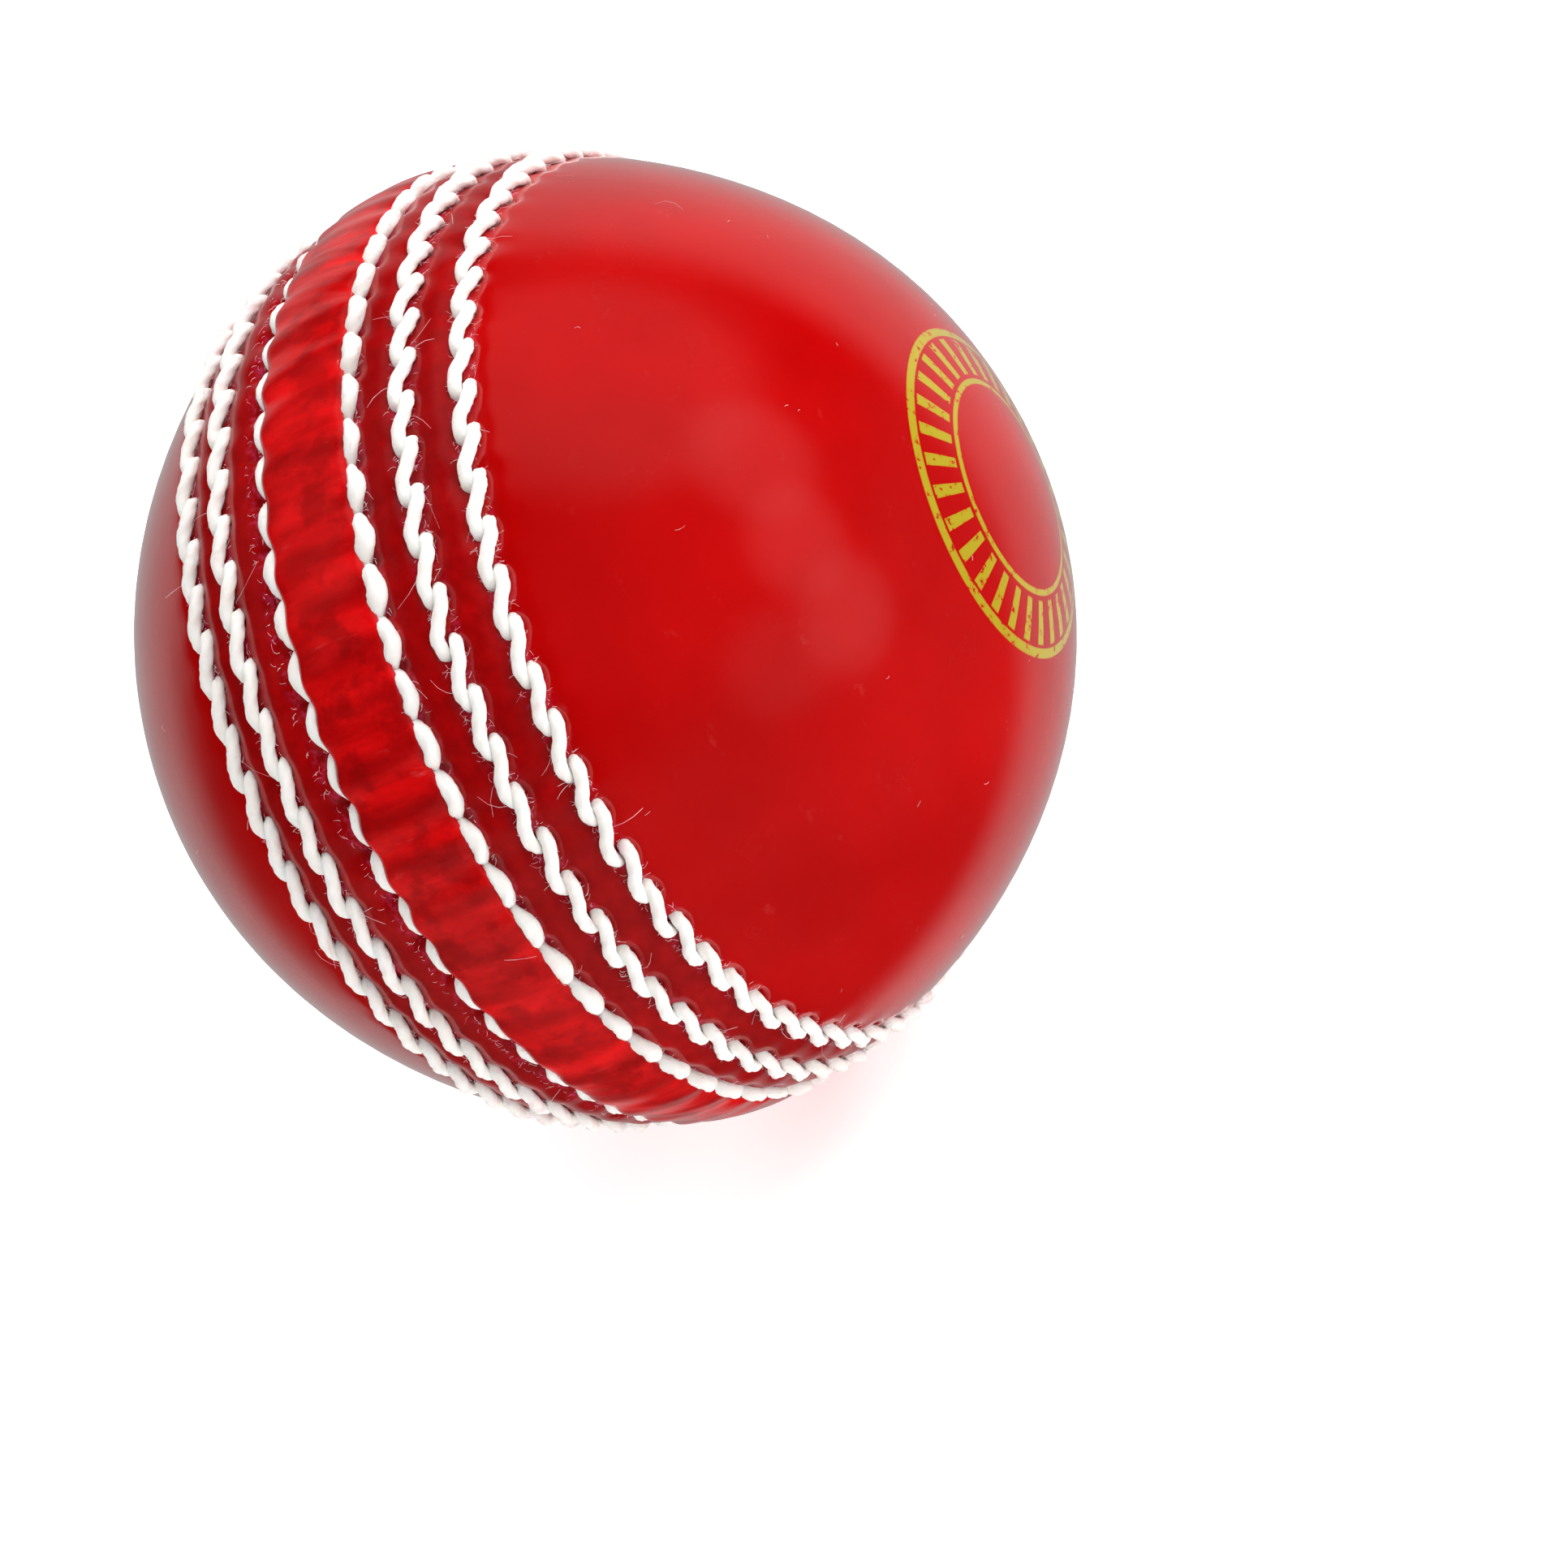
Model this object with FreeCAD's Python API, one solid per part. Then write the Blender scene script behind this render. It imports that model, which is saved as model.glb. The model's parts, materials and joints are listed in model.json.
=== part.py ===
"""A two-piece leather cricket ball, modelled as it is sewn together.

A cork and rubber nucleus is wound with wool twine and wrapped with cork slices in
turn. Two leather cover halves close over it. Each half has a leather liner inside
its rim, and two rows of saddle stitching through cover and liner. The closing
thread passes through both rims and joins the halves, and a leather strip lies
over the joint.

Frame: origin at the ball's centre, +Y along the polar axis through the middle of
the right cover half, and the seam in the XZ plane. Lengths are millimetres and
latitudes are degrees from the seam.
"""

import FreeCAD
import Part

import math
import os

Vector = FreeCAD.Vector
CENTRE = Vector(0, 0, 0)
POLAR_AXIS = Vector(0, 1, 0)
HALVES = {"left": -1, "right": 1}

# Cover halves
POLE_RADIUS = 35.2
SEAM_SWELL = 1.45
SWELL_SPREAD = 25.0
COVER_THICKNESS = 3.2
RIM_GAP = 0.02
STITCHED_BAND_END = 26.0

# Stitch rows
STITCHES = 64
PITCH = 360.0 / STITCHES
INNER_ROW = 6.2
MIDDLE_ROW = 12.4
OUTER_ROW = 18.9
CHANNEL_DEPTH = 0.45
CHANNEL_HALF_WIDTH = 1.81
CHANNEL_FLATNESS = 4
THREAD_RADIUS = 0.43
THREAD_BEND = 0.6
THREAD_LIFT = 0.07
SADDLE_OFFSET = 0.45
AWL_LONG = 0.98
AWL_SHORT = 0.56
AWL_START_RADIUS = POLE_RADIUS - 2 * COVER_THICKNESS
AWL_TRAVEL = 3 * COVER_THICKNESS

# Closing thread, which crosses from rim to rim inside the leather
CLOSING_OFFSET = 0.5
CLOSING_BOW = 0.22
CROSSING_RADII = (35.0, 34.05)
TUNNEL_CLEARANCE = 0.05
TUNNEL_OVERRUN = 1.0
SHAFT_OVERLAP = 0.02

# Strip over the joint
STRIP_EDGE = 5.4
STRIP_SEAT_DEPTH = 0.3
STRIP_SEAT_FLATNESS = 8
STRIP_CROWN_RADIUS = 37.15
STRIP_EDGE_DROP = 0.27

# Liner inside each rim
LINER_THICKNESS = 0.8
LINER_START = 8.6
LINER_END = 23.0

# Wound core
NUCLEUS_RADIUS = 11.0
TWINE_THICKNESS = 2.6
CORK_THICKNESS = 1.7
WRAPS = 4
CORK_SLICES = 8
SLICE_GAP = 1.2
LAYER_GAP = 0.02
CORE_RELIEF = 1.95
CORE_RELIEF_HALF_WIDTH = 9.0
CORE_RELIEF_FLATNESS = 8
CORE_RELIEF_END = 30.0

# Degrees of latitude from one point of a section to the next
RELIEF_STEP = 0.6
GROOVE_STEP = 1.5
LINER_STEP = 3.0
PLAIN_STEP = 5.0
CORE_STEP = 7.5


def bump(latitude, centre, half_width, flatness):
    """1 at centre, falling to 0 past half_width. A higher flatness gives steeper sides."""
    return math.exp(-abs((latitude - centre) / half_width) ** flatness)


def swell(latitude):
    """How far the leather bulges towards the seam, as a plain bell curve."""
    return SEAM_SWELL * bump(latitude, 0, SWELL_SPREAD, 2)


def leather_radius(latitude):
    """The cover's outer surface, with a channel under each stitch row and a seat under the strip."""
    rows = (INNER_ROW, MIDDLE_ROW, OUTER_ROW)
    channels = sum(bump(latitude, row, CHANNEL_HALF_WIDTH, CHANNEL_FLATNESS) for row in rows)
    seat = bump(latitude, 0, STRIP_EDGE, STRIP_SEAT_FLATNESS)
    return POLE_RADIUS + swell(latitude) - CHANNEL_DEPTH * channels - STRIP_SEAT_DEPTH * seat


def lining_radius(latitude):
    """The cover's inner surface."""
    return POLE_RADIUS + swell(latitude) - COVER_THICKNESS


def liner_inner_radius(latitude):
    return lining_radius(latitude) - LAYER_GAP - LINER_THICKNESS


def core_radius(latitude):
    """The wound core's surface, with a groove for each liner and the thread on it."""
    liner_middle = (LINER_START + LINER_END) / 2
    groove = bump(abs(latitude), liner_middle, CORE_RELIEF_HALF_WIDTH, CORE_RELIEF_FLATNESS)
    return lining_radius(latitude) - LAYER_GAP - CORE_RELIEF * groove


def strip_top_radius(latitude):
    return STRIP_CROWN_RADIUS - STRIP_EDGE_DROP * (latitude / STRIP_EDGE) ** 2


def strip_seat_radius(latitude):
    return leather_radius(abs(latitude)) + LAYER_GAP


def in_section(radius, latitude):
    """A point of a section in the XY plane."""
    angle = math.radians(latitude)
    return Vector(radius * math.cos(angle), radius * math.sin(angle), 0)


def section_curve(radius_of, latitudes):
    points = [in_section(radius_of(latitude), latitude) for latitude in latitudes]
    curve = Part.BSplineCurve()
    curve.interpolate(points)
    return curve.toShape()


def spread(start, end, step):
    count = max(2, round(abs(end - start) / step))
    return [start + (end - start) * i / count for i in range(count + 1)]


def end_lines(inner, outer):
    """The straight edges that close a section between two curves."""
    return [
        Part.LineSegment(inside.Point, outside.Point).toShape()
        for inside, outside in zip(inner.Vertexes, outer.Vertexes)
    ]


def revolved(edges):
    wire = Part.Wire(Part.__sortEdges__(edges))
    return Part.Face(wire).revolve(CENTRE, POLAR_AXIS, 360)


def placed_on(shape, side):
    """The right half's shape, or the same shape turned half round to be the left half's."""
    placed = shape.copy()
    if side < 0:
        placed.rotate(CENTRE, Vector(1, 0, 0), 180)
    return placed


def ring_of_holes(hole):
    """A row's holes: copies of one, a stitch apart all the way round."""
    holes = []
    for number in range(STITCHES):
        copy = hole.copy()
        copy.rotate(CENTRE, POLAR_AXIS, number * PITCH)
        holes.append(copy)
    return holes


class HoleFrame:
    """Directions at an awl hole: out along it, north across the row, and along the row."""

    def __init__(self, latitude, number):
        lat = math.radians(latitude)
        lon = math.radians(number * PITCH)
        self.out = Vector(
            math.cos(lat) * math.cos(lon),
            math.sin(lat),
            -math.cos(lat) * math.sin(lon),
        )
        self.along = Vector(-math.sin(lon), 0, -math.cos(lon))
        self.north = self.out.cross(self.along)

    def point(self, radius, north=0.0, along=0.0):
        return self.out * radius + self.north * north + self.along * along


def rounded_path(points, radius):
    """Straight runs between the points, joined by tangent arcs."""
    edges = []
    start = points[0]
    for before, corner, after in zip(points, points[1:], points[2:]):
        back = (before - corner).normalize()
        ahead = (after - corner).normalize()
        half = (math.pi - back.getAngle(ahead)) / 2
        trim = radius * math.tan(half)
        arc_start = corner + back * trim
        arc_end = corner + ahead * trim
        middle_way = (back + ahead).normalize()
        arc_middle = corner + middle_way * (radius / math.cos(half) - radius)
        edges.append(Part.LineSegment(start, arc_start).toShape())
        edges.append(Part.Arc(arc_start, arc_middle, arc_end).toShape())
        start = arc_end
    edges.append(Part.LineSegment(start, points[-1]).toShape())
    return Part.Wire(edges)


def thread_along(points):
    path = rounded_path(points, THREAD_BEND)
    direction = points[1] - points[0]
    section = Part.Wire(Part.makeCircle(THREAD_RADIUS, points[0], direction))
    return path.makePipeShell([section], True, False)


def thread_radius_over(row):
    """The radius at which a thread's middle runs along a row, on the leather."""
    return leather_radius(row) + THREAD_RADIUS + THREAD_LIFT


def saddle_strand(row, first_hole):
    """One of a row's two strands: out at one hole, over to the next, in, and on inside."""
    outside = thread_radius_over(row)
    inside = liner_inner_radius(row) - THREAD_RADIUS - THREAD_LIFT
    points = []
    for number in range(first_hole, first_hole + STITCHES, 2):
        riser = HoleFrame(row, number)
        diver = HoleFrame(row, number + 1)
        points.append(riser.point(inside, SADDLE_OFFSET))
        points.append(riser.point(outside, SADDLE_OFFSET))
        points.append(diver.point(outside, -SADDLE_OFFSET))
        points.append(diver.point(inside, -SADDLE_OFFSET))
    return thread_along(points)


def closing_strand(strand):
    """One of the closing thread's two strands, which changes sides at every hole."""
    on_surface = thread_radius_over(INNER_ROW)
    depth = CROSSING_RADII[strand]
    level = on_surface * math.cos(math.radians(INNER_ROW))
    offset = on_surface * math.sin(math.radians(INNER_ROW))
    points = []
    for number in range(STITCHES):
        side = 1 if (number + strand) % 2 else -1
        hole = HoleFrame(0, number)
        points.append(hole.point(level, side * offset, -CLOSING_OFFSET))
        points.append(hole.point(depth, side * offset, -CLOSING_OFFSET))
        points.append(hole.point(depth, -side * offset, CLOSING_OFFSET))
        points.append(hole.point(level, -side * offset, CLOSING_OFFSET))
        between = HoleFrame(0, number + 0.5)
        points.append(between.point(level, -side * (offset + CLOSING_BOW)))
    points.pop()
    return thread_along(points)


def awl_hole(row):
    """An oval hole along a row's radial direction, at longitude 0, long across the row."""
    frame = HoleFrame(row, 0)
    base = frame.point(AWL_START_RADIUS)
    oval = Part.Ellipse(base + frame.north * AWL_LONG, base + frame.along * AWL_SHORT, base)
    face = Part.Face(Part.Wire(oval.toShape()))
    return face.extrude(frame.out * AWL_TRAVEL)


def closing_hole():
    """The awl's way through a rim: down from the inner row, then across to the joint."""
    frame = HoleFrame(0, 0)
    offset = thread_radius_over(INNER_ROW) * math.sin(math.radians(INNER_ROW))
    room = THREAD_RADIUS + TUNNEL_CLEARANCE
    reach = CLOSING_OFFSET + room
    low = CROSSING_RADII[1] - room
    high = CROSSING_RADII[0] + room
    width = offset + room + TUNNEL_OVERRUN
    tunnel = Part.makeBox(high - low, width, 2 * reach, Vector(low, -TUNNEL_OVERRUN, -reach))
    base = frame.point(CROSSING_RADII[0], offset)
    shaft_end = base + frame.along * (reach + SHAFT_OVERLAP)
    oval = Part.Ellipse(shaft_end, base + frame.north * AWL_SHORT, base)
    shaft = Part.Face(Part.Wire(oval.toShape())).extrude(frame.out * COVER_THICKNESS)
    return tunnel.fuse(shaft)


def cover_half():
    """The right-hand cover half, pierced for the thread."""
    start = math.degrees(RIM_GAP / POLE_RADIUS)
    latitudes = spread(start, STITCHED_BAND_END, RELIEF_STEP)
    latitudes += spread(STITCHED_BAND_END, 90, PLAIN_STEP)[1:]
    outer = section_curve(leather_radius, latitudes)
    inner = section_curve(lining_radius, spread(start, 90, PLAIN_STEP))
    shell = revolved([outer, inner] + end_lines(inner, outer))
    holes = ring_of_holes(awl_hole(OUTER_ROW))
    holes += ring_of_holes(awl_hole(MIDDLE_ROW))
    holes += ring_of_holes(closing_hole())
    return shell.cut(holes)


def rim_liner():
    """The right-hand liner, a leather band inside the cover under the two outer rows."""
    latitudes = spread(LINER_START, LINER_END, LINER_STEP)
    outer = section_curve(lambda lat: lining_radius(lat) - LAYER_GAP, latitudes)
    inner = section_curve(liner_inner_radius, latitudes)
    band = revolved([outer, inner] + end_lines(inner, outer))
    holes = ring_of_holes(awl_hole(OUTER_ROW))
    holes += ring_of_holes(awl_hole(MIDDLE_ROW))
    return band.cut(holes)


def seam_strip():
    latitudes = spread(-STRIP_EDGE, STRIP_EDGE, RELIEF_STEP)
    top = section_curve(strip_top_radius, latitudes)
    seat = section_curve(strip_seat_radius, latitudes)
    return revolved([top, seat] + end_lines(seat, top))


def ball_shell(inner_radius, outer_radius):
    return Part.makeSphere(outer_radius).cut(Part.makeSphere(inner_radius))


def cork_wrap(inner_radius, outer_radius, turn):
    """Thin cork slices, like peel, each a separate solid. Each wrap lies across the last."""
    angle = 360.0 / CORK_SLICES - SLICE_GAP
    whole = Part.makeSphere(outer_radius, CENTRE, Vector(0, 0, 1), -90, 90, angle)
    slice_shape = whole.cut(Part.makeSphere(inner_radius))
    slices = []
    for number in range(CORK_SLICES):
        copy = slice_shape.copy()
        copy.rotate(CENTRE, Vector(0, 0, 1), number * 360.0 / CORK_SLICES)
        copy.rotate(CENTRE, Vector(*turn), 90)
        slices.append(copy)
    return Part.makeCompound(slices)


def outer_winding(inner_radius):
    """The last layer of twine, shaped to the inside of the covers."""
    half = [
        section_curve(core_radius, spread(0, CORE_RELIEF_END, GROOVE_STEP)),
        section_curve(core_radius, spread(CORE_RELIEF_END, 90, CORE_STEP)),
    ]
    other_half = [edge.mirror(CENTRE, POLAR_AXIS) for edge in half]
    pole = in_section(core_radius(90), 90)
    axis = Part.LineSegment(pole, -pole).toShape()
    return revolved(half + other_half + [axis]).cut(Part.makeSphere(inner_radius))


def core_parts():
    """The nucleus, then twine and cork in turn, and the outer winding."""
    turns = ((1, 0, 0), (0, 1, 0), (0, 0, 1))
    parts = {"core_nucleus": Part.makeSphere(NUCLEUS_RADIUS)}
    radius = NUCLEUS_RADIUS
    for number in range(1, WRAPS + 1):
        twine_end = radius + TWINE_THICKNESS
        cork_end = twine_end + CORK_THICKNESS
        turn = turns[number % len(turns)]
        parts[f"twine_layer_{number}"] = ball_shell(radius + LAYER_GAP, twine_end)
        parts[f"cork_wrap_{number}"] = cork_wrap(twine_end + LAYER_GAP, cork_end, turn)
        radius = cork_end
    parts["outer_twine_winding"] = outer_winding(radius + LAYER_GAP)
    return parts


def seam_parts():
    parts = {"seam_strip": seam_strip()}
    cover = cover_half()
    liner = rim_liner()
    rows = {"middle": MIDDLE_ROW, "outer": OUTER_ROW}
    threads = {
        name: Part.makeCompound([saddle_strand(row, first) for first in (0, 1)])
        for name, row in rows.items()
    }
    for half, side in HALVES.items():
        parts[f"cover_half_{half}"] = placed_on(cover, side)
        parts[f"rim_liner_{half}"] = placed_on(liner, side)
        for name, thread in threads.items():
            parts[f"{name}_row_thread_{half}"] = placed_on(thread, side)
    for strand, order in enumerate(("first", "second")):
        parts[f"closing_thread_{order}"] = closing_strand(strand)
    return parts


def main():
    os.makedirs("parts", exist_ok=True)
    parts = {**core_parts(), **seam_parts()}
    for name, shape in parts.items():
        solids = shape.Solids
        print(name, len(solids), "solids", round(shape.Volume, 1), "mm3", shape.isValid())
        shape.exportStep(f"parts/{name}.step")


main()
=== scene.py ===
"""The looks of a stitched leather cricket ball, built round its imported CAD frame.

World frame, in metres: origin at the ball's centre, +Y along the polar axis, the
seam in the XZ plane. Ball shapes below are worked out in millimetres, with
latitude in degrees from the seam and longitude in degrees round the polar axis.
"""

import json
import math

import bmesh
import bpy
import numpy as np
from mathutils import Matrix, Vector

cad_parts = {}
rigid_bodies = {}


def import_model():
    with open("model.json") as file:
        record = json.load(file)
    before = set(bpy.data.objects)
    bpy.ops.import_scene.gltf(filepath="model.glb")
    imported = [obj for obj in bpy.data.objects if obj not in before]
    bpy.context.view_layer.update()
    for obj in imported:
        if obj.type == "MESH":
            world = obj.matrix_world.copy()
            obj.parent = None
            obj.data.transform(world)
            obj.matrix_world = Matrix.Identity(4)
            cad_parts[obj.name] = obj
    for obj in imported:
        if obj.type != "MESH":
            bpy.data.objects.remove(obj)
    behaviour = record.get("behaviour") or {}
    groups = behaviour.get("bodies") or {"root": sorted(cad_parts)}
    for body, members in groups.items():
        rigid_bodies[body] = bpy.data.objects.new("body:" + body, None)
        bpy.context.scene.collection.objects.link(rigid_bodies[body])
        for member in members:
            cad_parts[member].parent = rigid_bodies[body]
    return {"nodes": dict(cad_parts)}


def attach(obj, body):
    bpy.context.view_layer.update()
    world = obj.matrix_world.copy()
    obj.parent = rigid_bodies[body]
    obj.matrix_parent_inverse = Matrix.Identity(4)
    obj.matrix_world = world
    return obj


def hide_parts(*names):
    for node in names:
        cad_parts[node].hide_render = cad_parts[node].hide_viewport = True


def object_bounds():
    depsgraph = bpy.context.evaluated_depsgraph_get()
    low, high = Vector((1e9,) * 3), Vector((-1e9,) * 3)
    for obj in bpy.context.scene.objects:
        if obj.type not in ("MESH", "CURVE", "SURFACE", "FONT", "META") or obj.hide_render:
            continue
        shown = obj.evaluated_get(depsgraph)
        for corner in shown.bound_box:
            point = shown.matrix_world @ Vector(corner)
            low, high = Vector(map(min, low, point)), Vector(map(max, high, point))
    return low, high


MM = 0.001
HALVES = {"left": -1, "right": 1}

# Unless a comment says otherwise, lengths below are millimetres, latitudes and their
# half widths are degrees, and a spread or an unevenness is a share of what it varies.
# A roundness is the power of a half sine wave, and a lower one gives a flatter top.
# BELL is the flatness that makes bump() a plain bell curve
BELL = 2

# Leather surface, with the radii and the swell of the CAD model
POLE_RADIUS = 35.2
SEAM_SWELL = 1.45
SWELL_SPREAD = 25.0
COVER_THICKNESS = 3.2
RIM_GAP = 0.04
MOULDING_HEIGHT = 0.05
MOULDING_MIDDLE = 45.0
MOULDING_HALF_WIDTH = 25.0

# Grid of a cover half, which is fine from its rim to past the stitches
COVER_COLUMNS_A_STITCH = 15
FINE_GRID_END = 24.0
FINE_ROWS = 72
COARSE_ROWS = 24
LINING_ROWS = 9

# Stitch rows. The inner rows show at another latitude on each side, and their
# stitches arch and stand up by another amount, left as -1 and right as 1
STITCHES = 64
PITCH = 360.0 / STITCHES
INNER_ROW = 6.25
MIDDLE_ROW = 12.4
OUTER_ROW = 18.9
ROWS = (INNER_ROW, MIDDLE_ROW, OUTER_ROW)
INNER_ROW_SHOWN = {-1: 5.45, 1: 4.80}
INNER_STITCH_ARCH = {-1: 0.72, 1: 0.42}
INNER_STITCH_HEIGHT = {-1: 0.26, 1: -0.05}

# Leather relief. A hole stretch under 1 makes a hole longer across its row
CHANNEL_DEPTH = 0.30
CHANNEL_HALF_WIDTH = 1.9
CHANNEL_FLATNESS = 2.4
HOLE_DEPTH = 0.5
HOLE_SIZE = 0.5
HOLE_STRETCH = 0.75
PUCKER_HEIGHT = 0.07
PUCKER_HALF_WIDTH_MM = 1.7
PUCKER_UNEVENNESS = 0.5
LANE_PUFF = 0.05
PUFF_HALF_WIDTH = 2.2
PUFF_FLATNESS = 4
PUFF_UNEVENNESS = 0.4

# Strip over the joint, which sits off the middle, and its seat in the covers
STRIP_EDGE = 5.4
STRIP_CROWN = 37.12
STRIP_EDGE_DROP = 0.27
STRIP_SHIFT = -0.45
STRIP_WANDER = 0.22
STRIP_THICKNESS = 0.75
STRIP_ROUNDING = 0.24
STRIP_ROUNDING_FLATNESS = 14
STRIP_COLUMNS_A_STITCH = 20
STRIP_ROWS = 33
STRIP_ROWS_A_LOWER_ROW = 3
LOWER_FACE_MARGIN = 0.1
SEAT_DEPTH = 0.3
SEAT_MARGIN = 0.2
SEAT_FLATNESS = 8

# Ripples of the strip, where the thread pulls it down. The slant is in pitches from
# the middle to an edge, the drift in radians and the scallop in degrees
RIPPLE_HEIGHT = 0.09
RIPPLE_IN_MIDDLE = 0.35
RIPPLE_UNEVENNESS = 0.7
RIPPLE_SLANT = 0.16
RIPPLE_DRIFT = 0.35
SCALLOP = 0.16
BROAD_CREASE = 0.022
BROAD_CREASE_SLANT = 0.8
FINE_CREASE = 0.012
FINE_CREASE_SLANT = -1.2
CREASE_TERMS = 40

# Thread. The ply depth is a share of the radius
THREAD_RADIUS = 0.49
THREAD_UNEVENNESS = 0.03
THREAD_SIDES = 16
PLIES = 3
PLY_DEPTH = 0.15
PLY_TWISTS_A_STITCH = 2.4

# Saddle stitches. The overlap is a share of the pitch, the seat is a share of the
# thread's radius, and the lean is a power that moves the swing along the stitch
SHOWN_STEPS = 19
STITCH_OVERLAP = 0.13
STITCH_SLANT = 0.32
SLANT_SPREAD = 0.28
STITCH_SHIFT = 0.12
STITCH_CURL = 0.18
STITCH_LEAN = 0.85
STITCH_ROUNDNESS = 0.45
STITCH_SEAT = 0.55
STITCH_LIFT = 0.16
LIFT_SPREAD = 0.25
THREAD_ABOVE_CHANNEL = 0.16
THREAD_IN_HOLE = -0.42
HIDDEN_STEPS = 9
HIDDEN_ROUNDNESS = 0.2
INSIDE_DEPTH = 4.2

# Closing thread. A stitch starts at a share of the pitch and spans a share of it, and
# the crossing to the other rim, which is deeper for the second strand, spans the rest
CLOSING_STEPS = 15
CLOSING_START = 0.05
CLOSING_SPAN = 0.90
CLOSING_SUNK = 0.6
CLOSING_SIZES = (0.85, 1.15)
CLOSING_ROUNDNESS = 0.5
INNER_THREAD_RADIUS = 0.66
THICKNESS_AT_ENDS = 0.60
CROSSING_STEPS = 7
CROSSING_START = 0.95
CROSSING_SPAN = 0.10
CROSSING_DEPTH = 1.5
CROSSING_DEPTH_STEP = 0.95
CROSSING_THREAD_RADIUS = 0.36

# Loose fibres, some beside each row and a few as dust on the polished faces. The
# rise, the droop and the curl are shares of a fibre's length, and the lean numbers
# set a direction only
FUZZ_COUNT = 9500
DUST_COUNT = 60
DUST_LATITUDES = (22, 75)
FIBRE_ROW_SHARES = (0.2, 0.4, 0.4)
FIBRE_OFF_ROW = 0.80
FIBRE_SCATTER = 0.24
FIBRE_HEIGHTS = (-0.05, 0.45)
FIBRE_LENGTHS = (0.12, 0.48)
FIBRE_RADIUS = 0.015
FIBRE_POINTS = 4
FIBRE_SECTION = ((1, 0), (-0.5, 0.87), (-0.5, -0.87))
LONG_FIBRE_EVERY = 50
LONG_FIBRE_STRETCH = 5
LEAN_SPREAD = 0.8
LEAN_AWAY = 1.1
CURL_SPREAD = 0.8
FIBRE_RISE = 0.75
FIBRE_DROOP = 0.6

# Seeds of the random draws
COVER_SEED = 100
PUCKER_SEED_STEP = 10
RIPPLE_SEED, DRIFT_SEED, WANDER_SEED = 301, 302, 303
BROAD_CREASE_SEED, FINE_CREASE_SEED = 310, 311
ROW_SEED = 400
CLOSING_SEED = 700
FIBRE_SEED = 55

# Foil mark round each pole, in degrees from the pole
FOIL_INNER = 13.0
FOIL_INNER_HALF_WIDTH = 0.35
FOIL_OUTER = 20.0
FOIL_OUTER_HALF_WIDTH = 0.55
FOIL_EDGE = 0.08
FOIL_RAYS = 30
RAY_END_START, RAY_END_FINISH = 0.9, 1.1
FOIL_METAL = 0.35

# Colours, as linear red, green, blue and alpha. A pair is a darker and a lighter one
POLISHED_REDS = (0.37, 0.0005, 0.0007, 1), (0.47, 0.0010, 0.0013, 1)
SCUFFED_RED = (0.72, 0.12, 0.12, 1)
FLUFFED_RED = (0.62, 0.045, 0.14, 1)
GOLD_FOIL = (0.56, 0.43, 0.025, 1)
SEAM_REDS = (0.27, 0.0006, 0.0010, 1), (0.42, 0.0014, 0.0022, 1)
SEAM_STAIN = (0.18, 0.0006, 0.0012, 1)
STRIP_REDS = (0.42, 0.0010, 0.0015, 1), (0.72, 0.0030, 0.0040, 1)
# Painted shade of the strip's ripples, laid in patches at the stitch pitch
STRIP_PAINTED_RIPPLE_SHADE = (0.17, 0.0008, 0.0012, 1)
STRIP_BLOTCH = (0.20, 0.0010, 0.0014, 1)
STRIP_SCRATCH = (0.70, 0.09, 0.10, 1)
# The strip's lighter cut edge: partly the raw cut, partly a painted highlight on the
# rounded edge
STRIP_CUT_EDGE_AND_HIGHLIGHT = (0.62, 0.05, 0.10, 1)
LINENS = (0.90, 0.85, 0.80, 1), (0.98, 0.96, 0.93, 1)
DYED_LINEN = (0.80, 0.30, 0.42, 1)
STRAY_LINENS = (0.90, 0.42, 0.52, 1), (0.94, 0.88, 0.87, 1)
FLOOR_GREY = (0.92, 0.92, 0.92, 1)
WHITE = (1, 1, 1, 1)
LEATHER_COAT_IOR = 1.45

# Looks of the CAD nodes that stay, by a word of their names: material name, darker and
# lighter colour, scale of the grain, its stretch, and depth of its relief in metres
INNER_LOOKS = {
    "core_nucleus": ("moulded_cork_rubber", (0.03, 0.02, 0.015, 1),
                     (0.32, 0.18, 0.09, 1), 900, None, 0.0002),
    "twine": ("wound_wool_twine", (0.36, 0.30, 0.20, 1),
              (0.72, 0.65, 0.50, 1), 700, (1, 6, 1), 0.0003),
    "cork_wrap": ("sliced_cork", (0.26, 0.13, 0.06, 1),
                  (0.62, 0.40, 0.22, 1), 500, None, 0.0002),
    "rim_liner": ("undyed_liner_leather", (0.34, 0.20, 0.11, 1),
                  (0.52, 0.35, 0.21, 1), 600, None, 0.0001),
}

# Camera: its distance in pole radii, the ball's shown pole in camera axes, angles in
# degrees, and the lens and sensor in millimetres
CAMERA_DISTANCE = 6.5
POLE_IN_CAMERA = Vector((0.825, 0.318, 0.468)).normalized()
ELEVATION = 25.0
SENSOR = 36.0
FOCAL_LENGTH = 69.2
BALL_RIGHT_OF_AXIS = -3.31
BALL_ABOVE_AXIS = 2.73
CLIP_START = 0.01

# Studio, with directions in camera axes and brightness in scene units. The reflected
# surround fades between two cosines from the dark side, between two brightnesses
DARK_SIDE = (-0.08, -0.28, 1.0)
SURROUND_FADE = (-0.62, -0.36, 0.44, 0.0)
DIFFUSE_SURROUND = 0.16
SEEN_SURROUND = 1.0

# Soft glows that the polish reflects: direction, angles from it at which the glow
# stops being full and is gone, and radiance
GLOWS = (
    ((0.02, 0.88, 0.46), 21, 33, 0.21),
    ((0.53, 0.64, 0.56), 4, 17, 0.50),
    ((0.69, 0.36, 0.63), 3, 15, 0.50),
    ((0.84, 0.10, 0.53), 3, 15, 0.50),
    ((0.66, -0.06, 0.75), 3, 15, 0.20),
)

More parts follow.
